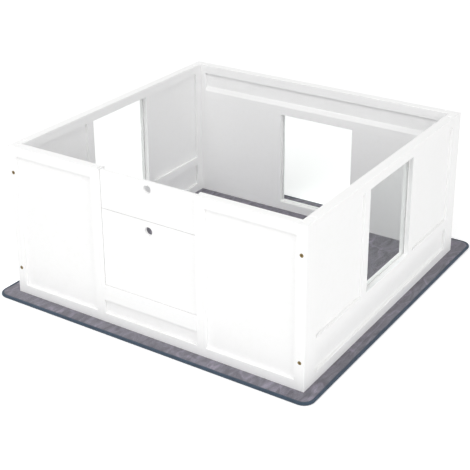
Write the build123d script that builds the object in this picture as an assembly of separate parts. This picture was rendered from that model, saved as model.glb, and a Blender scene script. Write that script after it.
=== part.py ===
import os

from build123d import *

# Whelping box: four framed wooden walls standing on a bound plush mat.
# Two boards close the doorway in the front wall and lift out of grooves in the door stiles.
# Millimetres. +X to the right seen from the front, the doorway is on the -Y side, +Z is up.
# The origin is the middle of the mat's underside.

# Driving dimensions of the box
box_width = 1000.0
box_depth = 965.0
wall_height = 480.0
wall_thickness = 30.0
frame_width = 30.0
bottom_rail_height = 28.0
arris_radius = 1.5

# Panels and the joints of the frames
panel_thickness = 14.0
panel_play = 0.2
groove_depth = 8.0
end_play = 0.5

# Doorway and its boards
door_width = 324.0
door_stile_width = 30.0
threshold_height = 118.0
threshold_rail_height = 44.0
threshold_nosing = 3.0
board_thickness = 12.0
board_setback = 7.0
board_play = 0.4
board_groove_depth = 9.0
board_end_play = 0.8
board_rest_gap = 0.3
board_top_drop = 2.0
lower_board_height = 242.7
finger_hole_diameter = 25.0
upper_hole_drop = 23.0
lower_hole_drop = 31.0
finger_hole_chamfer = 1.5

# Side walls
side_window_width = 272.0
lower_panel_height = 75.0

# Back wall
back_stile_width = 50.0
back_window_width = 275.0
upper_panel_height = 65.0
bevel_height = 15.0
bevel_lip = 2.0

# Window panes
pane_thickness = 4.0
pane_play = 0.2

# Corner bolts and their inserts
bolt_inset = 84.0
bolt_diameter = 6.0
bolt_length = 45.0
bolt_clearance = 0.25
head_diameter = 11.0
head_sink = 0.3
head_clearance = 0.2
socket_size = 4.0
socket_depth = 3.0
insert_diameter = 10.0
insert_length = 16.0
insert_clearance = 0.1
thread_clearance = 0.1
hole_end_space = 1.5

# Mat, and how far it reaches past the box on each side
mat_thickness = 8.0
mat_margin_left = 50.0
mat_margin_right = 42.0
mat_margin_front = 48.0
mat_margin_back = 84.0
mat_corner_radius = 34.0
binding_width = 7.0
binding_edge_chamfer = 2.0

# Sizes that follow
top_rail_height = frame_width
mid_rail_height = frame_width
groove_width = panel_thickness + 2 * panel_play
pane_groove_width = pane_thickness + 2 * pane_play
board_groove_width = board_thickness + 2 * board_play
board_y = board_setback + board_thickness / 2 - wall_thickness / 2
top_rail_foot = wall_height - top_rail_height
mat_width = box_width + mat_margin_left + mat_margin_right
mat_depth = box_depth + mat_margin_front + mat_margin_back
box_x = (mat_margin_left - mat_margin_right) / 2
box_y = (mat_margin_front - mat_margin_back) / 2
side_length = box_depth - 2 * wall_thickness
bolt_heights = (bolt_inset, wall_height - bolt_inset)
from_base = (Align.CENTER, Align.CENTER, Align.MIN)

# Every wall is built lying along X about its middle, with its foot at z = 0,
# its outer face at y = -wall_thickness / 2 and its inner face at y = +wall_thickness / 2.


def stile(width, foot, head, grooves):
    """An upright: its plan section, with a groove cut in the named edges, run from foot to head."""
    section = Rectangle(width, wall_thickness)
    for side, depth, breadth, place in grooves:
        section -= Pos(side * (width - depth) / 2, place) * Rectangle(depth, breadth)
    return Pos(0, 0, foot) * extrude(section, amount=head - foot)


def rail(length, foot, head, section=None):
    """A cross member: its end section run along X."""
    if section is None:
        section = Pos(0, (foot + head) / 2) * Rectangle(wall_thickness, head - foot)
    return extrude(Plane.YZ * section, amount=length / 2, both=True)


def groove(length, floor, mouth, breadth, x=0.0, y=0.0):
    """The space of a groove that runs along X between its floor and its mouth."""
    height = abs(mouth - floor)
    return Pos(x, y, (floor + mouth) / 2) * Box(length, breadth, height)


def tenons(length, foot, head, breadth=groove_width, y=0.0):
    """Stub tenons on both ends of a rail that is length long between its shoulders.

    They fill the stile's groove and stop short of the rail's own grooves, where a panel's corner goes.
    """
    tenon = Box(groove_depth, breadth, head - foot)
    middle = (foot + head) / 2
    spread = (length + groove_depth) / 2
    return [Pos(side * spread, y, middle) * tenon for side in (-1, 1)]


def sheet(width, foot, head, thickness, y=0.0):
    """A panel, pane or board between foot and head."""
    return Pos(0, y, (foot + head) / 2) * Box(width, thickness, head - foot)


def rounded_top(solid):
    """The long top edges of a rail or stile, eased with the arris radius."""
    edges = solid.edges().filter_by(Axis.X).group_by(Axis.Z)[-1]
    return fillet(edges, arris_radius)


def framed_panel(opening, foot, head):
    """A flat panel that stands on the groove below and has play at its head and its sides."""
    width = opening + 2 * (groove_depth - end_play)
    return sheet(width, foot - groove_depth, head + groove_depth - end_play, panel_thickness)


def window_pane(opening, foot, head):
    """A clear sheet that stands on the groove below and has play at its head and its sides."""
    width = opening + 2 * (groove_depth - end_play)
    return sheet(width, foot - groove_depth, head + groove_depth - end_play, pane_thickness)


def bolt_hole():
    """The countersunk hole for a corner bolt, along +Y through a wall whose outer face is at y = 0."""
    hole_radius = bolt_diameter / 2 + bolt_clearance
    mouth_radius = head_diameter / 2 + head_sink + head_clearance
    hole = Cylinder(hole_radius, wall_thickness, align=from_base)
    hole += Cone(mouth_radius, hole_radius, mouth_radius - hole_radius, align=from_base)
    return Rot(-90, 0, 0) * hole


def corner_stile(width, side):
    """An end stile of the front or back wall: grooved towards the middle and bored for the corner bolts."""
    solid = stile(width, 0, wall_height, [(-side, groove_depth, groove_width, 0)])
    upright = solid.edges().filter_by(Axis.Z)
    corner = upright.group_by(Axis.X)[-1 if side > 0 else 0].sort_by(Axis.Y)[0]
    top = solid.faces().sort_by(Axis.Z)[-1].edges()
    long_edges = top.filter_by(Axis.X).filter_by(lambda e: abs(e.center().Y) > wall_thickness / 2 - 0.1)
    end_edge = top.filter_by(Axis.Y).group_by(Axis.X)[-1 if side > 0 else 0]
    solid = fillet([corner, *long_edges, *end_edge], arris_radius)
    for height in bolt_heights:
        solid -= Pos(side * (width - wall_thickness) / 2, -wall_thickness / 2, height) * bolt_hole()
    return solid


def front_section(side):
    """One framed panel of the front wall beside the doorway; side is -1 on the left and +1 on the right."""
    door_stile_x = side * (door_width + door_stile_width) / 2
    corner_x = side * (box_width - frame_width) / 2
    opening = (box_width - door_width) / 2 - door_stile_width - frame_width
    middle = side * (box_width / 2 - frame_width - opening / 2)
    door_grooves = [
        (side, groove_depth, groove_width, 0),
        (-side, board_groove_depth, board_groove_width, board_y),
    ]
    top = rounded_top(rail(opening, top_rail_foot, wall_height))
    top -= groove(opening, top_rail_foot + groove_depth, top_rail_foot, groove_width)
    top += tenons(opening, top_rail_foot + groove_depth, wall_height - arris_radius)
    bottom = rail(opening, 0, bottom_rail_height)
    bottom -= groove(opening, bottom_rail_height - groove_depth, bottom_rail_height, groove_width)
    bottom += tenons(opening, 0, bottom_rail_height - groove_depth)
    door_stile = stile(door_stile_width, 0, wall_height, door_grooves)
    edges = door_stile.faces().sort_by(Axis.Z)[-1].edges().filter_by(Axis.X)
    door_stile = fillet(edges.filter_by(lambda e: abs(e.center().Y) > wall_thickness / 2 - 0.1), arris_radius)
    return {
        "outer_stile": Pos(corner_x, 0, 0) * corner_stile(frame_width, side),
        "door_stile": Pos(door_stile_x, 0, 0) * door_stile,
        "top_rail": Pos(middle, 0, 0) * top,
        "bottom_rail": Pos(middle, 0, 0) * bottom,
        "panel": Pos(middle, 0, 0) * framed_panel(opening, bottom_rail_height, top_rail_foot),
    }


def threshold():
    """The fixed foot of the doorway, whose ends stand in the board grooves of the door stiles."""
    rail_foot = threshold_height - threshold_rail_height
    rail_depth = wall_thickness + threshold_nosing
    section = Pos(-threshold_nosing / 2, (rail_foot + threshold_height) / 2)
    section *= Rectangle(rail_depth, threshold_rail_height)
    top = rail(door_width, rail_foot, threshold_height, section)
    nose = top.edges().filter_by(Axis.X).group_by(Axis.Y)[0]
    top = fillet(nose, arris_radius)
    top -= groove(door_width, rail_foot + groove_depth, rail_foot, board_groove_width, y=board_y)
    top += tenons(door_width, rail_foot + groove_depth, threshold_height, board_groove_width, board_y)
    bottom = rail(door_width, 0, bottom_rail_height)
    bottom_floor = bottom_rail_height - groove_depth
    bottom -= groove(door_width, bottom_floor, bottom_rail_height, board_groove_width, y=board_y)
    bottom += tenons(door_width, 0, bottom_floor, board_groove_width, board_y)
    panel_width = door_width + 2 * (groove_depth - end_play)
    panel_head = rail_foot + groove_depth - end_play
    panel = sheet(panel_width, bottom_floor, panel_head, board_thickness, board_y)
    return {"rail": top, "bottom_rail": bottom, "panel": panel}


def door_board(foot, head, hole_drop):
    """A board that slides in the door stiles, with eased long edges and a finger hole below its top."""
    width = door_width + 2 * (board_groove_depth - board_end_play)
    board = sheet(width, foot, head, board_thickness, board_y)
    board = fillet(board.edges().filter_by(Axis.X), arris_radius)
    hole = Rot(90, 0, 0) * Cylinder(finger_hole_diameter / 2, 2 * wall_thickness)
    board -= Pos(0, board_y, head - hole_drop) * hole
    rims = board.edges().filter_by(GeomType.CIRCLE).filter_by(lambda e: e.radius > arris_radius + 0.1)
    return chamfer(rims, finger_hole_chamfer)


def window_rail(length, window, foot, head, edge, section=None):
    """A rail above or below a window: one long edge is grooved for panels, stiles and the pane.

    edge is +1 when the window is above the rail and -1 when it is below.
    """
    solid = rail(length, foot, head, section)
    mouth = head if edge > 0 else foot
    floor = mouth - edge * groove_depth
    panel_run = (length - window) / 2
    for side in (-1, 1):
        solid -= groove(panel_run, floor, mouth, groove_width, side * (window + panel_run) / 2)
    solid -= groove(window, floor, mouth, pane_groove_width)
    return solid


def window_stile(foot, head, side):
    """A stile between a panel and the window; side is the side of the window that it stands on."""
    grooves = [(side, groove_depth, groove_width, 0), (-side, groove_depth, pane_groove_width, 0)]
    solid = stile(frame_width, foot, head, grooves)
    for tenon_foot in (foot - groove_depth, head):
        breadth = frame_width - 2 * groove_depth
        solid += Pos(0, 0, tenon_foot + groove_depth / 2) * Box(breadth, groove_width, groove_depth)
    return solid


def side_wall():
    """A side wall that stands between the front and back walls; both of its halves are alike."""
    span = side_length - 2 * frame_width
    mid_foot = bottom_rail_height + lower_panel_height
    mid_head = mid_foot + mid_rail_height
    opening = (span - side_window_width) / 2 - frame_width
    panel_x = (span - opening) / 2
    stile_x = (side_window_width + frame_width) / 2

    top = window_rail(span, side_window_width, top_rail_foot, wall_height, -1)
    top = rounded_top(top) + tenons(span, top_rail_foot + groove_depth, wall_height - arris_radius)
    mid = window_rail(span, side_window_width, mid_foot, mid_head, 1)
    mid -= groove(span, mid_foot + groove_depth, mid_foot, groove_width)
    mid += tenons(span, mid_foot + groove_depth, mid_head - groove_depth)
    bottom = rail(span, 0, bottom_rail_height)
    bottom -= groove(span, bottom_rail_height - groove_depth, bottom_rail_height, groove_width)
    bottom += tenons(span, 0, bottom_rail_height - groove_depth)
    parts = {
        "top_rail": top,
        "mid_rail": mid,
        "bottom_rail": bottom,
        "lower_panel": framed_panel(span, bottom_rail_height, mid_foot),
        "window_pane": window_pane(side_window_width, mid_head, top_rail_foot),
    }
    for side in (-1, 1):
        end = stile(frame_width, 0, wall_height, [(-side, groove_depth, groove_width, 0)])
        edges = end.faces().sort_by(Axis.Z)[-1].edges().filter_by(Axis.X)
        end = fillet(edges.filter_by(lambda e: abs(e.center().Y) > wall_thickness / 2 - 0.1), arris_radius)
        end = bored_end(end, side)
        upright = window_stile(mid_head, top_rail_foot, side)
        parts["end_stile", side] = Pos(side * (side_length - frame_width) / 2, 0, 0) * end
        parts["window_stile", side] = Pos(side * stile_x, 0, 0) * upright
        parts["panel", side] = Pos(side * panel_x, 0, 0) * framed_panel(opening, mid_head, top_rail_foot)
    return parts


def bored_end(end, side):
    """Holes along X in the end of a side wall, for the inserts, with room past them for the bolts' tips."""
    tip = head_sink + bolt_length - wall_thickness
    depth = max(tip, insert_length) + hole_end_space
    tool = Rot(0, 90, 0) * Cylinder(insert_diameter / 2 + insert_clearance, depth)
    for height in bolt_heights:
        end -= Pos(side * (frame_width - depth) / 2, 0, height) * tool
    return end


def flush_board(opening, foot, head):
    """A board with its inner face level with the frame, held by tongues cut on its four edges."""
    field = panel_thickness + (wall_thickness - panel_thickness) / 2
    field_y = wall_thickness / 2 - field / 2
    tongue = groove_depth - end_play
    section = Pos(0, field_y) * Rectangle(opening - 2 * panel_play, field)
    section += Rectangle(opening + 2 * tongue, panel_thickness)
    board = Pos(0, 0, foot - groove_depth) * extrude(section, amount=head - foot + groove_depth + tongue)
    cheek = (wall_thickness - panel_thickness) / 2
    cheek_y = (wall_thickness - cheek) / 2
    for start, end in ((foot - groove_depth, foot + panel_play), (head - panel_play, head + tongue)):
        board -= Pos(0, cheek_y, (start + end) / 2) * Box(opening + 2 * tongue, cheek, end - start)
    return board


def back_wall():
    """The back wall: a low window between flush boards, under a bevelled mid rail and a long panel."""
    span = box_width - 2 * back_stile_width
    mid_head = top_rail_foot - upper_panel_height
    mid_foot = mid_head - mid_rail_height
    lip = panel_thickness / 2 + bevel_lip
    ridge = mid_head + bevel_height
    opening = (span - back_window_width) / 2 - frame_width
    stile_x = (back_window_width + frame_width) / 2
    board_x = (span - opening) / 2

    profile = Polyline(
        (-wall_thickness / 2, mid_foot),
        (wall_thickness / 2, mid_foot),
        (wall_thickness / 2, mid_head),
        (lip, ridge),
        (-lip, ridge),
        (-wall_thickness / 2, mid_head),
        close=True,
    )
    mid = window_rail(span, back_window_width, mid_foot, mid_head, -1, make_face(profile))
    mid -= groove(span, ridge - groove_depth, ridge, groove_width)
    mid += tenons(span, mid_foot + groove_depth, ridge - groove_depth)
    top = rounded_top(rail(span, top_rail_foot, wall_height))
    top -= groove(span, top_rail_foot + groove_depth, top_rail_foot, groove_width)
    top += tenons(span, top_rail_foot + groove_depth, wall_height - arris_radius)
    bottom = window_rail(span, back_window_width, 0, bottom_rail_height, 1)
    bottom += tenons(span, 0, bottom_rail_height - groove_depth)
    parts = {
        "top_rail": top,
        "mid_rail": mid,
        "bottom_rail": bottom,
        "upper_panel": framed_panel(span, ridge, top_rail_foot),
        "window_pane": window_pane(back_window_width, bottom_rail_height, mid_foot),
    }
    for side in (-1, 1):
        corner_x = side * (box_width - back_stile_width) / 2
        upright = window_stile(bottom_rail_height, mid_foot, side)
        board = flush_board(opening, bottom_rail_height, mid_foot)
        parts["end_stile", side] = Pos(corner_x, 0, 0) * corner_stile(back_stile_width, side)
        parts["window_stile", side] = Pos(side * stile_x, 0, 0) * upright
        parts["board", side] = Pos(side * board_x, 0, 0) * board
    return parts


def corner_bolt():
    """A flat-head bolt along +Y with a hexagon socket, and with the top of its head at y = 0."""
    head_height = (head_diameter - bolt_diameter) / 2
    bolt = Cylinder(bolt_diameter / 2, bolt_length, align=from_base)
    bolt += Cone(head_diameter / 2, bolt_diameter / 2, head_height, align=from_base)
    bolt -= extrude(RegularPolygon(socket_size / 2, 6, major_radius=False), amount=socket_depth)
    return Rot(-90, 0, 0) * bolt


def threaded_insert():
    """A sleeve along +Y, level with the end face of a side wall."""
    section = Circle(insert_diameter / 2) - Circle(bolt_diameter / 2 + thread_clearance)
    return Rot(-90, 0, 0) * extrude(section, amount=insert_length)


def at_corners(piece, heights, depth):
    """Copies of a piece at each corner, facing in from the front and from the back, depth from the face."""
    copies = []
    reach = box_depth / 2 - depth
    spread = (box_width - wall_thickness) / 2
    for side in (-1, 1):
        for height in heights:
            copies.append(Pos(side * spread, -reach, height) * piece)
            copies.append(Pos(side * spread, reach, height) * Rot(0, 0, 180) * piece)
    return copies


def mat():
    """The plush pad and the bound edge round it, both lying on the floor."""
    pad_width = mat_width - 2 * binding_width
    pad_depth = mat_depth - 2 * binding_width
    pad_corner = mat_corner_radius - binding_width
    pad_outline = RectangleRounded(pad_width, pad_depth, pad_corner)
    pad = extrude(pad_outline, amount=mat_thickness)
    outline = RectangleRounded(mat_width, mat_depth, mat_corner_radius)
    binding = extrude(outline, amount=mat_thickness)
    rim = binding.faces().filter_by(Axis.Z).edges()
    binding = chamfer(rim, binding_edge_chamfer) - pad
    return pad, binding


def save(name, solids, place):
    """Move the solids from the wall's frame to the box's and write them as one node."""
    lift = Pos(box_x, box_y, mat_thickness) * place
    shapes = solids if isinstance(solids, list) else [solids]
    moved = [lift * solid for shape in shapes for solid in shape.solids()]
    node = moved[0] if len(moved) == 1 else Compound(children=moved)
    export_step(node, f"parts/{name}.step")


def save_wall(prefix, parts, place, minus, plus):
    """Write a wall's pieces; minus and plus name the ends that lie at -X and +X before it is placed."""
    ends = {-1: minus, 1: plus}
    for key, solid in parts.items():
        if isinstance(key, str):
            name = f"{prefix}_{key}"
        else:
            name = f"{prefix}_{ends[key[1]]}_{key[0]}"
        save(name, solid, place)


os.makedirs("parts", exist_ok=True)
front_place = Pos(0, -(box_depth - wall_thickness) / 2, 0)
back_place = Pos(0, (box_depth - wall_thickness) / 2, 0) * Rot(0, 0, 180)
right_place = Pos((box_width - wall_thickness) / 2, 0, 0) * Rot(0, 0, 90)
left_place = Pos(-(box_width - wall_thickness) / 2, 0, 0) * Rot(0, 0, -90)

for side, label in ((-1, "front_left"), (1, "front_right")):
    save_wall(label, front_section(side), front_place, "left", "right")
save_wall("threshold", threshold(), front_place, "left", "right")

lower_foot = threshold_height + board_rest_gap
lower_head = lower_foot + lower_board_height
upper_foot = lower_head + board_rest_gap
upper_head = wall_height - board_top_drop
save("lower_door_board", door_board(lower_foot, lower_head, lower_hole_drop), front_place)
save("upper_door_board", door_board(upper_foot, upper_head, upper_hole_drop), front_place)

side_parts = side_wall()
save_wall("right", side_parts, right_place, "front", "back")
save_wall("left", side_parts, left_place, "back", "front")
save_wall("back", back_wall(), back_place, "right", "left")

save("corner_bolts", at_corners(corner_bolt(), bolt_heights, head_sink), Pos(0, 0, 0))
save("threaded_inserts", at_corners(threaded_insert(), bolt_heights, wall_thickness), Pos(0, 0, 0))

mat_place = Pos(-box_x, -box_y, -mat_thickness)
mat_pad, mat_edge = mat()
save("floor_mat", mat_pad, mat_place)
save("mat_binding", mat_edge, mat_place)
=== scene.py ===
import bpy
import numpy as np
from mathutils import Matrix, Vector


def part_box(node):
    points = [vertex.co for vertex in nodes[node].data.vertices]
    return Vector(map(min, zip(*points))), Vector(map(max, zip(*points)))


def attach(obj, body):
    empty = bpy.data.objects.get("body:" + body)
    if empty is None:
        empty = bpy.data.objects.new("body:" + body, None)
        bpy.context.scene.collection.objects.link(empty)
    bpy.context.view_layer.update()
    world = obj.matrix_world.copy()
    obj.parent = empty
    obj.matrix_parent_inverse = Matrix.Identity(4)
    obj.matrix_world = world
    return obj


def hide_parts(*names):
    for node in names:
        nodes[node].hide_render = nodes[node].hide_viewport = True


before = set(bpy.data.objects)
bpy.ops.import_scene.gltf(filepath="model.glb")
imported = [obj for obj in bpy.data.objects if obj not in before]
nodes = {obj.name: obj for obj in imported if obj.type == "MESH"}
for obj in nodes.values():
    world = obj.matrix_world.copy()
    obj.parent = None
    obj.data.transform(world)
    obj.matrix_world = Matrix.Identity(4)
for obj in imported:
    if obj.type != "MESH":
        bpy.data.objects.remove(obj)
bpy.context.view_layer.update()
scene = bpy.context.scene
print("frame loaded:", len(nodes), "nodes")

plainWhite = (1.0, 1.0, 1.0)


# small helpers for shader trees

def emptyTree(owner, outputType):
    # clears the nodes of a material or world, and gives its tree and the socket that its surface goes to
    owner.use_nodes = True
    tree = owner.node_tree
    tree.nodes.clear()
    return tree, tree.nodes.new(outputType).inputs["Surface"]


def newMaterial(name):
    material = bpy.data.materials.new(name)
    tree, surface = emptyTree(material, "ShaderNodeOutputMaterial")
    shader = tree.nodes.new("ShaderNodeBsdfPrincipled")
    tree.links.new(shader.outputs["BSDF"], surface)
    return material, tree, shader


def coordinates(tree, scale, turn=(0, 0, 0), source="Object"):
    where = tree.nodes.new("ShaderNodeTexCoord")
    mapping = tree.nodes.new("ShaderNodeMapping")
    mapping.inputs["Scale"].default_value = scale
    mapping.inputs["Rotation"].default_value = [np.radians(a) for a in turn]
    tree.links.new(where.outputs[source], mapping.inputs["Vector"])
    return mapping.outputs["Vector"]


def objectPlace(tree):
    # the X, Y and Z of the shaded point in metres, each as a socket
    split = tree.nodes.new("ShaderNodeSeparateXYZ")
    tree.links.new(coordinates(tree, (1, 1, 1)), split.inputs["Vector"])
    return split.outputs


def noise(tree, vector, detail=3.0, roughness=0.55, distortion=0.0):
    texture = tree.nodes.new("ShaderNodeTexNoise")
    texture.inputs["Scale"].default_value = 1.0  # the Mapping node holds the real scale
    texture.inputs["Detail"].default_value = detail
    texture.inputs["Roughness"].default_value = roughness
    texture.inputs["Distortion"].default_value = distortion
    tree.links.new(vector, texture.inputs["Vector"])
    return texture.outputs["Fac"]


def arithmetic(tree, operation, *values):
    # a Math node, whose values are numbers or sockets
    node = tree.nodes.new("ShaderNodeMath")
    node.operation = operation
    for socket, value in zip(node.inputs, values):
        if isinstance(value, float):
            socket.default_value = value
        else:
            tree.links.new(value, socket)
    return node.outputs["Value"]


def ramp(tree, factor, stops):
    node = tree.nodes.new("ShaderNodeValToRGB")
    while len(node.color_ramp.elements) < len(stops):
        node.color_ramp.elements.new(0.5)
    for element, (place, colour) in zip(node.color_ramp.elements, stops):
        element.position = place
        element.color = (*colour, 1.0)
    tree.links.new(factor, node.inputs["Fac"])
    return node.outputs["Color"]


def remap(tree, factor, low, high, lowTo, highTo):
    node = tree.nodes.new("ShaderNodeMapRange")
    values = {"From Min": low, "From Max": high, "To Min": lowTo, "To Max": highTo}
    for socket, value in values.items():
        node.inputs[socket].default_value = value
    tree.links.new(factor, node.inputs["Value"])
    return node.outputs["Result"]


def multiplyColours(tree, first, second):
    node = tree.nodes.new("ShaderNodeMix")
    node.data_type = "RGBA"
    node.blend_type = "MULTIPLY"
    # a Mix node keeps its colours in inputs 6 and 7, and their result in output 2
    node.inputs[0].default_value = 1.0
    tree.links.new(first, node.inputs[6])
    tree.links.new(second, node.inputs[7])
    return node.outputs[2]


def mixShaders(tree, factor, first, second):
    node = tree.nodes.new("ShaderNodeMixShader")
    tree.links.new(factor, node.inputs["Fac"])
    tree.links.new(first, node.inputs[1])
    tree.links.new(second, node.inputs[2])
    return node.outputs["Shader"]


def addBump(tree, shader, height, depth, strength=1.0, under=None):
    node = tree.nodes.new("ShaderNodeBump")
    node.inputs["Distance"].default_value = depth
    node.inputs["Strength"].default_value = strength
    tree.links.new(height, node.inputs["Height"])
    if under is not None:
        tree.links.new(under, node.inputs["Normal"])
    tree.links.new(node.outputs["Normal"], shader.inputs["Normal"])
    return node.outputs["Normal"]


# satin white paint: faint grain along each member, roller texture over it

paint = {
    "white": (0.957, 0.957, 0.954),
    "shade": (0.950, 0.950, 0.946),
    "patchSize": 2.5,         # slow change between the two, features per metre
    "memberWidth": 0.055,     # a piece wider than this is a board or a panel, whose grain has no direction
    "grainLong": 5.0,         # grain features per metre along a member
    "grainAcross": 130.0,     # and across it
    "grainDepth": 0.00003,
    "boardGrain": 60.0,       # grain features per metre on a board, the same both ways
    "boardDepth": 0.0000105,
    "hollow": (0.985, 0.985, 0.982),   # what the grain's hollows leave of the colour
    "rollerSize": 520.0,      # features per metre
    "rollerDepth": 0.000012,
    "roughness": (0.40, 0.48),
    "ior": 1.46,
}

# painted shade: grey lines that stand for the shadow in the door boards' gaps; how far each reaches from the
# left stile, the joint or the threshold
boardGapShade = {
    "stile": 0.0024,
    "seam": 0.0013,
    "foot": 0.0022,
    "grey": (0.42, 0.42, 0.42),
    "faded": (0.93, 0.93, 0.93),
    "fadedFrom": 0.45,        # share of the reach at which a line is already faded
}


def paintedGapShade(tree, gapShade):
    # painted shade: for each grey line along a board's gap, the list holds its axis, its place on that axis
    # and its reach
    place = objectPlace(tree)
    nearest = None
    for axis, at, reach in gapShade:
        distance = arithmetic(tree, "ABSOLUTE", arithmetic(tree, "SUBTRACT", place[axis], at))
        share = remap(tree, distance, 0.0, reach, 0.0, 1.0)
        nearest = share if nearest is None else arithmetic(tree, "MINIMUM", nearest, share)
    stops = [(0.0, boardGapShade["grey"]), (boardGapShade["fadedFrom"], boardGapShade["faded"]), (1.0, plainWhite)]
    return ramp(tree, nearest, stops)


def satinPaint(name, along, gapShade=()):
    # along is the axis of the grain, or None on a board
    material, tree, shader = newMaterial(name)
    patches = noise(tree, coordinates(tree, [paint["patchSize"]] * 3), detail=2.0)
    tint = ramp(tree, patches, [(0.30, paint["shade"]), (0.70, paint["white"])])
    roller = noise(tree, coordinates(tree, [paint["rollerSize"]] * 3), detail=2.0, roughness=0.5)
    if along is None:
        grain = noise(tree, coordinates(tree, [paint["boardGrain"]] * 3), detail=3.0)
        depth = paint["boardDepth"]
    else:
        scale = [paint["grainAcross"]] * 3
        scale["XYZ".index(along)] = paint["grainLong"]
        grain = noise(tree, coordinates(tree, scale), detail=5.0, roughness=0.6, distortion=0.3)
        depth = paint["grainDepth"]
    lines = ramp(tree, grain, [(0.30, paint["hollow"]), (0.52, plainWhite)])
    colour = multiplyColours(tree, tint, lines)
    # the door boards get grey lines of painted shade along their gaps, multiplied into the colour
    if gapShade:
        colour = multiplyColours(tree, colour, paintedGapShade(tree, gapShade))
    tree.links.new(colour, shader.inputs["Base Color"])
    tree.links.new(remap(tree, roller, 0.3, 0.7, *paint["roughness"]), shader.inputs["Roughness"])
    shader.inputs["IOR"].default_value = paint["ior"]
    under = addBump(tree, shader, grain, depth)
    addBump(tree, shader, roller, paint["rollerDepth"], under=under)
    return material


def slidingBoardPaint(node):
    low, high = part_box(node)
    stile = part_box("front_left_door_stile")
    # grey lines of painted shade beside the left stile, and at the boards' joint and the threshold
    gapShade = [("X", stile[1].x, boardGapShade["stile"])]
    if node == "lower_door_board":
        gapShade += [("Z", high.z, boardGapShade["seam"]), ("Z", low.z, boardGapShade["foot"])]
    else:
        gapShade += [("Z", low.z, boardGapShade["seam"])]
    return satinPaint(node + "Paint", None, gapShade)


def grainDirection(node):
    # a frame member's grain runs along its longest side; wide boards and panels have none
    low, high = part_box(node)
    size = sorted(((high - low)[i], "XYZ"[i]) for i in range(3))
    if size[1][0] > paint["memberWidth"]:
        return None
    return size[2][1]


# clear window sheet, which lets the lamps' light straight through

clearSheet = {
    "tint": (0.915, 0.932, 0.924),
    "ior": 1.06,
    "hazeSize": 9.0,                 # features per metre
    "roughness": (0.003, 0.0096),
    "border": (0.93, 0.93, 0.925),   # the part held in the groove, which the paint has run over
    "borderRoughness": 0.5,
    "overrun": 0.003,                # how far that paint reaches out of the groove
}


def windowOpening(wall):
    # the axis along the wall, and the opening's low and high corners along it and upwards
    if wall == "back":
        left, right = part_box("back_left_window_stile"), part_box("back_right_window_stile")
        foot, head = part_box("back_bottom_rail"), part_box("back_mid_rail")
        return "X", (left[1].x, foot[1].z), (right[0].x, head[0].z)
    front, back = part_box(wall + "_front_window_stile"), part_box(wall + "_back_window_stile")
    foot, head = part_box(wall + "_mid_rail"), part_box(wall + "_top_rail")
    return "Y", (front[1].y, foot[1].z), (back[0].y, head[0].z)


def outsideSpan(tree, value, low, high):
    # 1 where the value lies beyond the span from low to high, and 0 within it
    within = arithmetic(tree, "COMPARE", value, (low + high) / 2, (high - low) / 2)
    return arithmetic(tree, "SUBTRACT", 1.0, within)


def windowSheet(wall):
    material = bpy.data.materials.new(wall + "WindowSheet")
    tree, surface = emptyTree(material, "ShaderNodeOutputMaterial")
    glass = tree.nodes.new("ShaderNodeBsdfPrincipled")
    glass.inputs["Base Color"].default_value = (*clearSheet["tint"], 1.0)
    glass.inputs["Transmission Weight"].default_value = 1.0
    glass.inputs["IOR"].default_value = clearSheet["ior"]
    haze = noise(tree, coordinates(tree, [clearSheet["hazeSize"]] * 3), detail=4.0)
    tree.links.new(remap(tree, haze, 0.3, 0.75, *clearSheet["roughness"]), glass.inputs["Roughness"])
    through = tree.nodes.new("ShaderNodeBsdfTransparent")
    through.inputs["Color"].default_value = (*clearSheet["tint"], 1.0)
    border = tree.nodes.new("ShaderNodeBsdfPrincipled")
    border.inputs["Base Color"].default_value = (*clearSheet["border"], 1.0)
    border.inputs["Roughness"].default_value = clearSheet["borderRoughness"]
    rays = tree.nodes.new("ShaderNodeLightPath")
    pane = mixShaders(tree, rays.outputs["Is Shadow Ray"], glass.outputs["BSDF"], through.outputs["BSDF"])
    along, low, high = windowOpening(wall)
    overrun = clearSheet["overrun"]
    place = objectPlace(tree)
    beside = outsideSpan(tree, place[along], low[0] + overrun, high[0] - overrun)
    aboveOrBelow = outsideSpan(tree, place["Z"], low[1] + overrun, high[1] - overrun)
    painted = arithmetic(tree, "MAXIMUM", beside, aboveOrBelow)
    tree.links.new(mixShaders(tree, painted, pane, border.outputs["BSDF"]), surface)
    return material


# metals: darkened brass of the bolt heads, and the plated inserts that the bolts go into

boltBrass = {
    "bright": (0.30, 0.225, 0.105),
    "dull": (0.17, 0.125, 0.06),
    "roughness": (0.48, 0.30),   # where it is dull, and where it is bright
    "spotSize": 420.0,           # features per metre
    "spotDepth": 0.00003,
}

insertZinc = {
    "bright": (0.62, 0.63, 0.64),
    "dull": (0.46, 0.47, 0.48),
    "roughness": 0.38,
    "spotSize": 260.0,
}


def agedBrass():
    material, tree, shader = newMaterial("agedBrass")
    spots = noise(tree, coordinates(tree, [boltBrass["spotSize"]] * 3), detail=4.0, roughness=0.65)
    colour = ramp(tree, spots, [(0.38, boltBrass["dull"]), (0.62, boltBrass["bright"])])
    tree.links.new(colour, shader.inputs["Base Color"])
    shader.inputs["Metallic"].default_value = 1.0
    tree.links.new(remap(tree, spots, 0.3, 0.7, *boltBrass["roughness"]), shader.inputs["Roughness"])
    addBump(tree, shader, spots, boltBrass["spotDepth"])
    return material


def zincPlate():
    material, tree, shader = newMaterial("zincPlate")
    spots = noise(tree, coordinates(tree, [insertZinc["spotSize"]] * 3), detail=3.0)
    colour = ramp(tree, spots, [(0.35, insertZinc["dull"]), (0.65, insertZinc["bright"])])
    tree.links.new(colour, shader.inputs["Base Color"])
    shader.inputs["Metallic"].default_value = 1.0
    shader.inputs["Roughness"].default_value = insertZinc["roughness"]
    return material


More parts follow.
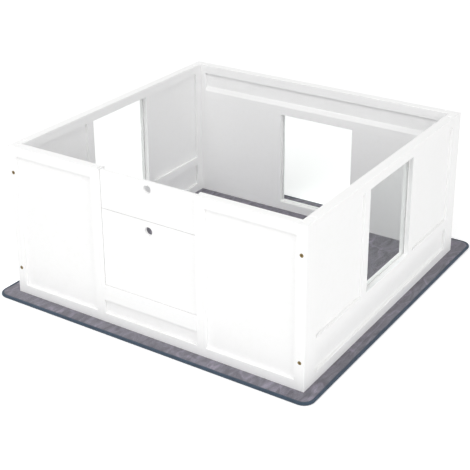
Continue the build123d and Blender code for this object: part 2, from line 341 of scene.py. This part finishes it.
def dressCadNodes():
    byDirection = {"X": satinPaint("satinPaintAlongX", "X"), "Y": satinPaint("satinPaintAlongY", "Y"),
                   "Z": satinPaint("satinPaintAlongZ", "Z"), None: satinPaint("satinPaintBoard", None)}
    metals = {"corner_bolts": agedBrass(), "threaded_inserts": zincPlate()}
    for name, piece in nodes.items():
        if name in metals:
            material = metals[name]
        elif name.endswith("window_pane"):
            material = windowSheet(name.split("_")[0])
        elif name.endswith("door_board"):
            material = slidingBoardPaint(name)
        else:
            material = byDirection[grainDirection(name)]
        piece.data.materials.clear()
        piece.data.materials.append(material)


dressCadNodes()
print("wood, windows and bolts dressed")


# grids and meshes for the mat and its binding

def gridFaces(rows, columns, closeRows=False, closeColumns=False):
    # quads of a grid of rows x columns points, joined round at the ends where asked
    index = np.arange(rows * columns).reshape(rows, columns)
    if closeRows:
        index = np.vstack([index, index[:1]])
    if closeColumns:
        index = np.hstack([index, index[:, :1]])
    corners = [index[:-1, :-1], index[1:, :-1], index[1:, 1:], index[:-1, 1:]]
    return np.stack(corners, axis=-1).reshape(-1, 4)


def makePiece(name, points, quads, triangles=None, smooth=True, uv=None):
    mesh = bpy.data.meshes.new(name)
    corners = quads.ravel()
    starts = np.arange(len(quads)) * 4
    if triangles is not None:
        starts = np.concatenate([starts, len(corners) + np.arange(len(triangles)) * 3])
        corners = np.concatenate([corners, triangles.ravel()])
    mesh.vertices.add(len(points))
    mesh.vertices.foreach_set("co", points.astype(np.float32).ravel())
    mesh.loops.add(len(corners))
    mesh.loops.foreach_set("vertex_index", corners.astype(np.int32))
    mesh.polygons.add(len(starts))
    mesh.polygons.foreach_set("loop_start", starts.astype(np.int32))
    if uv is not None:
        layer = mesh.uv_layers.new(name="clothMap")
        layer.data.foreach_set("uv", uv.astype(np.float32).ravel())
    mesh.update(calc_edges=True)
    mesh.validate()
    mesh.polygons.foreach_set("use_smooth", np.full(len(mesh.polygons), smooth))
    piece = bpy.data.objects.new(name, mesh)
    scene.collection.objects.link(piece)
    return piece


# floor mat: plush pad

matPad = {
    "crown": 0.0013,            # how far the pile stands above the walls' feet where nothing presses it
    "sunk": 0.0001,             # how far below the solid mat's top the pressed pile lies
    "softEdge": 0.007,          # width of the dent beside a wall
    "dentPower": 1.6,
    "waves": 0.00035,           # slow unevenness of the pile
    "waveCount": 26,
    "waveLength": (0.05, 0.24),
    "rimDrop": 0.0010,          # the pad is drawn down beside the binding
    "rimWidth": 0.005,
    "corner": 0.027,            # radius of the pad's corners, inside the binding
    "coarse": 0.0052,           # spacing of the grid's lines
    "fine": 0.0022,             # and beside a wall or the rim
    "nearWall": 0.009,          # how far the fine spacing reaches
    "nearRim": 0.006,
    "samples": 6001,            # steps in which the spacing is added up
    "seed": 11,
}


def stations(low, high, wallFaces, pad):
    # positions along one side of the pad: spacing is coarse, and fine close to a wall's face or the rim
    line = np.linspace(low, high, pad["samples"])
    wall = np.abs(line[:, None] - np.asarray(wallFaces)[None, :]).min(axis=1)
    rim = np.minimum(line - low, high - line)
    close = np.exp(-(wall / pad["nearWall"]) ** 2) + np.exp(-(rim / pad["nearRim"]) ** 2)
    density = 1 / pad["coarse"] + (1 / pad["fine"] - 1 / pad["coarse"]) * np.clip(close, 0, 1)
    total = np.concatenate([[0], np.cumsum((density[1:] + density[:-1]) / 2 * np.diff(line))])
    return np.interp(np.linspace(0, total[-1], int(np.ceil(total[-1])) + 1), total, line)


def roundedGrid(xs, ys, halfX, halfY, radius):
    # a square grid whose four corner squares are bent to quarter discs:
    # in units of the radius, x becomes x * sqrt(1 - y^2 / 2) and y becomes y * sqrt(1 - x^2 / 2)
    x, y = np.meshgrid(xs, ys, indexing="ij")
    straightX, straightY = halfX - radius, halfY - radius
    u = np.clip((np.abs(x) - straightX) / radius, 0, 1)
    v = np.clip((np.abs(y) - straightY) / radius, 0, 1)
    bentX = np.sign(x) * (straightX + radius * u * np.sqrt(1 - v * v / 2))
    bentY = np.sign(y) * (straightY + radius * v * np.sqrt(1 - u * u / 2))
    return np.where(np.abs(x) > straightX, bentX, x), np.where(np.abs(y) > straightY, bentY, y)


def roundedDistance(x, y, halfX, halfY, radius):
    # signed distance to a rounded rectangle, negative inside it
    qx, qy = np.abs(x) - (halfX - radius), np.abs(y) - (halfY - radius)
    outside = np.hypot(np.maximum(qx, 0), np.maximum(qy, 0))
    return outside + np.minimum(np.maximum(qx, qy), 0) - radius


def wallFootprint():
    # low and high corner of the ring of walls on the floor, and the walls' thickness
    corners = [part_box(n) for n in ("front_left_outer_stile", "back_right_end_stile")]
    low = np.array([corners[0][0].x, corners[0][0].y])
    high = np.array([corners[1][1].x, corners[1][1].y])
    return low, high, corners[0][1].y - corners[0][0].y


def pileWaves(x, y, pad):
    # a sum of sines of random direction, length and phase
    rng = np.random.default_rng(pad["seed"])
    count = pad["waveCount"]
    angle, length = rng.uniform(0, np.pi, count), rng.uniform(*pad["waveLength"], count)
    phase = rng.uniform(0, 2 * np.pi, count)
    waves = np.zeros_like(x)
    for a, l, p in zip(angle, length, phase):
        waves += np.sin(2 * np.pi * (x * np.cos(a) + y * np.sin(a)) / l + p)
    return waves * (pad["waves"] / np.sqrt(count / 2))


def matSurface(pad):
    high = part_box("floor_mat")[1]
    wallLow, wallHigh, wall = wallFootprint()
    wallFaces = [wallLow, wallLow + wall, wallHigh - wall, wallHigh]
    xs = stations(-high.x, high.x, [face[0] for face in wallFaces], pad)
    ys = stations(-high.y, high.y, [face[1] for face in wallFaces], pad)
    x, y = roundedGrid(xs, ys, high.x, high.y, pad["corner"])
    centre, half = (wallLow + wallHigh) / 2, (wallHigh - wallLow) / 2
    outside = roundedDistance(x - centre[0], y - centre[1], half[0], half[1], 0.0)
    inside = -roundedDistance(x - centre[0], y - centre[1], half[0] - wall, half[1] - wall, 0.0)
    clear = np.maximum(np.maximum(outside, inside), 0)
    # the pile rises with distance d from the walls as 1 - exp(-(d / softEdge)^dentPower)
    free = 1 - np.exp(-(clear / pad["softEdge"]) ** pad["dentPower"])
    # and falls with distance d from the rim by rimDrop * exp(-(d / rimWidth)^2)
    rim = -roundedDistance(x, y, high.x, high.y, pad["corner"])
    drop = pad["rimDrop"] * np.exp(-(rim / pad["rimWidth"]) ** 2)
    height = high.z - pad["sunk"] + free * (pad["crown"] + pileWaves(x, y, pad)) - drop
    return x, y, height


def makeMatPad(pad):
    x, y, height = matSurface(pad)
    rows, columns = x.shape
    points = np.stack([x, y, height], axis=-1).reshape(-1, 3)
    index = np.arange(rows * columns).reshape(rows, columns)
    loop = np.concatenate([index[:-1, 0], index[-1, :-1], index[:0:-1, -1], index[0, :0:-1]])
    # the edge drops straight to the floor, and a flat fan closes the underside
    base = points[loop].copy()
    base[:, 2] = 0.0
    first = len(points)
    ring = np.arange(len(loop))
    after = np.roll(ring, -1)
    sides = np.stack([loop, first + ring, first + after, loop[after]], axis=-1)
    middle = np.full(len(loop), first + len(loop))
    fan = np.stack([first + after, first + ring, middle], axis=-1)
    quads = np.concatenate([gridFaces(rows, columns), sides])
    piece = makePiece("matPad", np.concatenate([points, base, [[0, 0, 0]]]), quads, fan)
    # the flat underside isn't shaded as if it curved into the sides
    soft = np.arange(len(piece.data.polygons)) < len(quads)
    piece.data.polygons.foreach_set("use_smooth", soft)
    return piece


plush = {
    "light": (0.258, 0.246, 0.292),
    "middle": (0.183, 0.175, 0.204),
    "dark": (0.130, 0.125, 0.147),
    "patches": (34.0, 13.0, 20.0),   # brushed patches, features per metre before they are turned
    "patchDepth": 0.0015,
    "veins": (7.5, 4.2, 6.0),        # long curved marks where the pile parts, features per metre
    "turn": (0, 0, 68),              # degrees by which both are turned
    # the vein noise crosses 0.5 along curved lines, which come out as soft light strokes with a darker side
    "strokes": [(0.43, (1.0, 1.0, 1.0)), (0.465, (0.90, 0.90, 0.91)), (0.500, (1.34, 1.30, 1.34)),
                (0.545, (1.04, 1.04, 1.05)), (0.62, (1.0, 1.0, 1.0))],
    "tufts": [(0.30, (0.72, 0.72, 0.72)), (0.62, (1.12, 1.12, 1.12))],
    "pileSize": 640.0,
    "pileDepth": 0.0009,
    "roughness": 0.95,
    "specular": 0.2,
    "sheen": 0.25,
    "sheenRoughness": 0.45,
}


def plushCloth():
    material, tree, shader = newMaterial("marbledPlush")
    brushed = noise(tree, coordinates(tree, plush["patches"], plush["turn"]),
                    detail=5.0, roughness=0.62, distortion=1.1)
    veins = noise(tree, coordinates(tree, plush["veins"], plush["turn"]),
                  detail=2.0, roughness=0.45, distortion=1.5)
    pile = noise(tree, coordinates(tree, [plush["pileSize"]] * 3), detail=3.0, roughness=0.7)
    marbling = ramp(tree, brushed, [(0.30, plush["dark"]), (0.50, plush["middle"]), (0.72, plush["light"])])
    colour = multiplyColours(tree, marbling, ramp(tree, veins, plush["strokes"]))
    colour = multiplyColours(tree, colour, ramp(tree, pile, plush["tufts"]))
    tree.links.new(colour, shader.inputs["Base Color"])
    shader.inputs["Roughness"].default_value = plush["roughness"]
    shader.inputs["Specular IOR Level"].default_value = plush["specular"]
    shader.inputs["Sheen Weight"].default_value = plush["sheen"]
    shader.inputs["Sheen Roughness"].default_value = plush["sheenRoughness"]
    under = addBump(tree, shader, brushed, plush["patchDepth"], strength=0.5)
    addBump(tree, shader, pile, plush["pileDepth"], strength=0.8, under=under)
    return material


matPiece = makeMatPad(matPad)
matPiece.data.materials.append(plushCloth())
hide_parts("floor_mat")
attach(matPiece, "frame")
print("mat pad:", len(matPiece.data.polygons), "faces")


# woven tape sewn round the mat's edge

tape = {
    "corner": 0.034,       # radius of the mat's corners, over the tape
    "inward": 0.0030,      # how far the tape reaches onto the pad
    "rise": 0.0007,        # its top above that of the solid binding
    "square": 2.7,         # power of the section's rounded shape
    "pucker": 0.022,       # share of the half height by which a stitch pulls the top down
    "stitchPitch": 0.0046,
    "step": 0.0030,        # spacing of the sections
    "round": 22,           # points round a section
    "samples": 400,        # points on each side and each corner of the outline before it is spaced evenly
}


def matOutline(tape, step):
    # points and outward normals along a rounded rectangle, evenly spaced, with their run along it
    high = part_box("mat_binding")[1]
    radius = tape["corner"]
    halfX, halfY = high.x - radius, high.y - radius
    centres = np.array([(halfX, halfY), (-halfX, halfY), (-halfX, -halfY), (halfX, -halfY)])
    facings = np.array([(1, 0), (0, 1), (-1, 0), (0, -1)])
    t = np.linspace(0, 1, tape["samples"], endpoint=False)
    fine = []
    for quarter in range(4):
        # the side that faces this way, then the corner after it
        side = radius * facings[quarter]
        fine.append(np.outer(1 - t, centres[quarter - 1] + side) + np.outer(t, centres[quarter] + side))
        angle = np.pi * (quarter / 2 + t / 2)
        fine.append(centres[quarter] + radius * np.stack([np.cos(angle), np.sin(angle)], axis=-1))
    fine = np.concatenate(fine + [fine[0][:1]])
    run = np.concatenate([[0], np.cumsum(np.hypot(*np.diff(fine, axis=0).T))])
    count = int(round(run[-1] / step))
    place = np.arange(count) * run[-1] / count
    points = np.stack([np.interp(place, run, fine[:, k]) for k in (0, 1)], axis=-1)
    along = np.roll(points, -1, axis=0) - np.roll(points, 1, axis=0)
    along /= np.linalg.norm(along, axis=1)[:, None]
    outward = np.stack([along[:, 1], -along[:, 0]], axis=-1)
    return points, outward, place, run[-1]


def tapeSection(tape):
    # half width and half height of the folded tape
    low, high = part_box("mat_binding")
    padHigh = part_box("floor_mat")[1]
    width = high.x - padHigh.x + tape["inward"]
    height = high.z + tape["rise"] - low.z
    return width / 2, height / 2


def makeTape(tape):
    points, outward, place, total = matOutline(tape, tape["step"])
    halfWidth, halfHeight = tapeSection(tape)
    angle = np.linspace(0, 2 * np.pi, tape["round"], endpoint=False)
    power = 2 / tape["square"]
    # section: across = a * |cos|^p, up = b * |sin|^p, carried along the outline and puckered at every stitch
    across = halfWidth * np.sign(np.cos(angle)) * np.abs(np.cos(angle)) ** power
    up = halfHeight * np.sign(np.sin(angle)) * np.abs(np.sin(angle)) ** power
    pucker = 1 - tape["pucker"] * (0.5 + 0.5 * np.cos(2 * np.pi * place / tape["stitchPitch"]))
    offset = across[None, :] - halfWidth
    xy = points[:, None, :] + outward[:, None, :] * offset[:, :, None]
    topSide = np.clip(up, 0, None) / halfHeight
    z = halfHeight + up[None, :] * (1 - (1 - pucker[:, None]) * topSide[None, :])
    verts = np.concatenate([xy, z[:, :, None]], axis=-1)
    rows, columns = z.shape
    faces = gridFaces(rows, columns, closeRows=True, closeColumns=True)[:, ::-1]
    girth = np.concatenate([[0], np.cumsum(np.hypot(np.diff(across), np.diff(up)))])
    girth = np.append(girth, girth[-1] + np.hypot(across[0] - across[-1], up[0] - up[-1]))
    # the cloth map runs in metres along the tape and round its section
    grid = np.stack(np.meshgrid(np.append(place, total), girth, indexing="ij"), axis=-1)
    corners = [grid[:-1, :-1], grid[1:, :-1], grid[1:, 1:], grid[:-1, 1:]]
    uv = np.stack(corners, axis=2).reshape(-1, 4, 2)[:, ::-1]
    return makePiece("bindingTape", verts.reshape(-1, 3), faces, uv=uv.reshape(-1, 2))


binding = {
    "dark": (0.026, 0.044, 0.070),
    "light": (0.052, 0.079, 0.114),
    "ribs": 900.0,          # scale of the cloth map, which with ribScale gives about 460 ribs per metre
    "ribScale": 0.32,
    "ribDepth": 0.00018,
    "fadeSize": 45.0,       # features per metre
    "fading": [(0.3, (0.85, 0.85, 0.85)), (0.7, (1.15, 1.15, 1.15))],
    "roughness": 0.78,
    "specular": 0.3,
    "sheen": 0.15,
}


def tapeCloth():
    material, tree, shader = newMaterial("navyTape")
    ribs = tree.nodes.new("ShaderNodeTexWave")
    ribs.wave_type = "BANDS"
    ribs.bands_direction = "DIAGONAL"
    ribs.inputs["Scale"].default_value = binding["ribScale"]
    ribs.inputs["Distortion"].default_value = 0.6
    ribs.inputs["Detail"].default_value = 1.0
    tree.links.new(coordinates(tree, [binding["ribs"]] * 3, source="UV"), ribs.inputs["Vector"])
    fading = noise(tree, coordinates(tree, [binding["fadeSize"]] * 3), detail=3.0)
    woven = ramp(tree, ribs.outputs["Fac"], [(0.15, binding["dark"]), (0.85, binding["light"])])
    colour = multiplyColours(tree, woven, ramp(tree, fading, binding["fading"]))
    tree.links.new(colour, shader.inputs["Base Color"])
    shader.inputs["Roughness"].default_value = binding["roughness"]
    shader.inputs["Specular IOR Level"].default_value = binding["specular"]
    shader.inputs["Sheen Weight"].default_value = binding["sheen"]
    addBump(tree, shader, ribs.outputs["Fac"], binding["ribDepth"], strength=0.8)
    return material


stitching = {
    "length": 0.0031,
    "radius": 0.00042,
    "inset": 0.0078,        # from the tape's outer edge
    "rings": 5,             # points of one stitch from end to end, and round it
    "spokes": 8,
    "colour": (0.085, 0.115, 0.155),
    "shade": (0.0595, 0.0805, 0.1085),
    "twist": 1500.0,        # features per metre
    "roughness": 0.6,
}


def makeStitches(tape, stitching):
    # each stitch is an ellipsoid: cos(a) cos(b) along the seam, cos(a) sin(b) across it and sin(a) up
    points, outward = matOutline(tape, tape["stitchPitch"])[:2]
    halfWidth, halfHeight = tapeSection(tape)
    # it lies on the tape, at the section's height there
    across = (halfWidth - stitching["inset"]) / halfWidth
    top = halfHeight + halfHeight * (1 - np.abs(across) ** tape["square"]) ** (1 / tape["square"])
    centre = points - outward * stitching["inset"]
    along = np.stack([-outward[:, 1], outward[:, 0]], axis=-1)
    rings, spokes = stitching["rings"], stitching["spokes"]
    a, b = np.meshgrid(np.linspace(-np.pi / 2, np.pi / 2, rings),
                       np.linspace(0, 2 * np.pi, spokes, endpoint=False), indexing="ij")
    x, y, z = np.cos(a) * np.cos(b), np.cos(a) * np.sin(b), np.sin(a)
    size = np.array([stitching["length"] / 2, stitching["radius"], stitching["radius"]])
    xy = (centre[:, None, None, :] + along[:, None, None, :] * (x * size[0])[None, :, :, None]
          + outward[:, None, None, :] * (y * size[1])[None, :, :, None])
    height = np.broadcast_to(top + (z * size[2])[None], xy.shape[:3])
    verts = np.concatenate([xy, height[..., None]], axis=-1).reshape(-1, 3)
    one = gridFaces(rings, spokes, closeColumns=True)
    faces = (one[None] + np.arange(len(points))[:, None, None] * rings * spokes).reshape(-1, 4)
    return makePiece("bindingStitches", verts, faces)


def threadMaterial():
    material, tree, shader = newMaterial("stitchThread")
    twist = noise(tree, coordinates(tree, [stitching["twist"]] * 3), detail=2.0)
    colour = ramp(tree, twist, [(0.3, stitching["shade"]), (0.7, stitching["colour"])])
    tree.links.new(colour, shader.inputs["Base Color"])
    shader.inputs["Roughness"].default_value = stitching["roughness"]
    return material


tapePiece = makeTape(tape)
tapePiece.data.materials.append(tapeCloth())
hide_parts("mat_binding")
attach(tapePiece, "frame")

stitchPiece = makeStitches(tape, stitching)
stitchPiece.data.materials.append(threadMaterial())
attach(stitchPiece, "frame")
print("binding:", len(tapePiece.data.polygons), "faces, stitches:", len(stitchPiece.data.polygons))


# studio: white floor, soft lamps, camera

studio = {
    "skyStrength": 0.555,
    "floorColour": (0.88, 0.88, 0.88),
    "floorGlow": 0.37,      # added to the floor for sight only, so that it is white where nothing shades it
    "floorHalf": 30.0,
    "floorDrop": 0.0002,    # below the mat's underside
}

lamps = [
    {"name": "frontHighLamp", "place": (0.0, -3.73, 5.32), "power": 96.0},
    {"name": "frontLowLamp", "place": (0.0, -5.32, 3.73), "power": 52.0},
    {"name": "leftLamp", "place": (-6.03, 0.0, 2.43), "power": 114.0},
    {"name": "rightLamp", "place": (5.66, -2.06, 2.43), "power": 112.0},
]
softBox = {"size": 3.6, "aim": (0.0, 0.0, 0.2)}

# the camera was fitted to the box's corners in the photograph
view = {
    "place": (1.6908, -2.6216, 1.6706),
    "target": (-0.1814, 0.3024, 0.2478),
    "lens": 84.507,         # millimetres, as the sensor's width is
    "sensor": 36.0,
    "shiftX": -0.02839,
    "shiftY": -0.16973,
    "farthest": 100.0,
}


def whiteForSight(tree):
    # 1 for camera, mirror and see-through rays, so that they all meet the same white background
    rays = tree.nodes.new("ShaderNodeLightPath").outputs
    direct = arithmetic(tree, "MAXIMUM", rays["Is Camera Ray"], rays["Is Glossy Ray"])
    return arithmetic(tree, "MAXIMUM", direct, rays["Is Transmission Ray"])


def evenSky(tree, strength):
    sky = tree.nodes.new("ShaderNodeBackground")
    sky.inputs["Color"].default_value = (*plainWhite, 1.0)
    sky.inputs["Strength"].default_value = strength
    return sky.outputs["Background"]


def makeSky():
    scene.world = bpy.data.worlds.new("studioSky")
    tree, surface = emptyTree(scene.world, "ShaderNodeOutputWorld")
    lighting, seen = evenSky(tree, studio["skyStrength"]), evenSky(tree, 1.0)
    tree.links.new(mixShaders(tree, whiteForSight(tree), lighting, seen), surface)


def paleFloor():
    material = bpy.data.materials.new("paleFloor")
    tree, surface = emptyTree(material, "ShaderNodeOutputMaterial")
    matte = tree.nodes.new("ShaderNodeBsdfDiffuse")
    matte.inputs["Color"].default_value = (*studio["floorColour"], 1.0)
    glow = tree.nodes.new("ShaderNodeEmission")
    strength = arithmetic(tree, "MULTIPLY", whiteForSight(tree), studio["floorGlow"])
    tree.links.new(strength, glow.inputs["Strength"])
    both = tree.nodes.new("ShaderNodeAddShader")
    tree.links.new(matte.outputs["BSDF"], both.inputs[0])
    tree.links.new(glow.outputs["Emission"], both.inputs[1])
    tree.links.new(both.outputs["Shader"], surface)
    return material


def makeFloor():
    half, down = studio["floorHalf"], -studio["floorDrop"]
    points = np.array([[-half, -half, down], [half, -half, down], [half, half, down], [-half, half, down]])
    floor = makePiece("studioFloor", points, np.array([[0, 1, 2, 3]]), smooth=False)
    floor.data.materials.append(paleFloor())


def placeFacing(name, data, place, target):
    # a lamp or camera that looks from its place towards the target
    body = bpy.data.objects.new(name, data)
    body.location = place
    body.rotation_euler = (Vector(target) - Vector(place)).to_track_quat("-Z", "Y").to_euler()
    scene.collection.objects.link(body)
    return body


def makeLamps():
    for lamp in lamps:
        light = bpy.data.lights.new(lamp["name"], "AREA")
        light.shape = "SQUARE"
        light.size = softBox["size"]
        light.energy = lamp["power"]
        placeFacing(lamp["name"], light, lamp["place"], softBox["aim"])


def makeCamera():
    data = bpy.data.cameras.new("studioCamera")
    data.sensor_width = view["sensor"]
    data.lens = view["lens"]
    data.shift_x = view["shiftX"]
    data.shift_y = view["shiftY"]
    data.clip_end = view["farthest"]
    scene.camera = placeFacing("studioCamera", data, view["place"], view["target"])


makeSky()
makeFloor()
makeLamps()
makeCamera()
scene.view_settings.view_transform = "Standard"
print("studio ready")
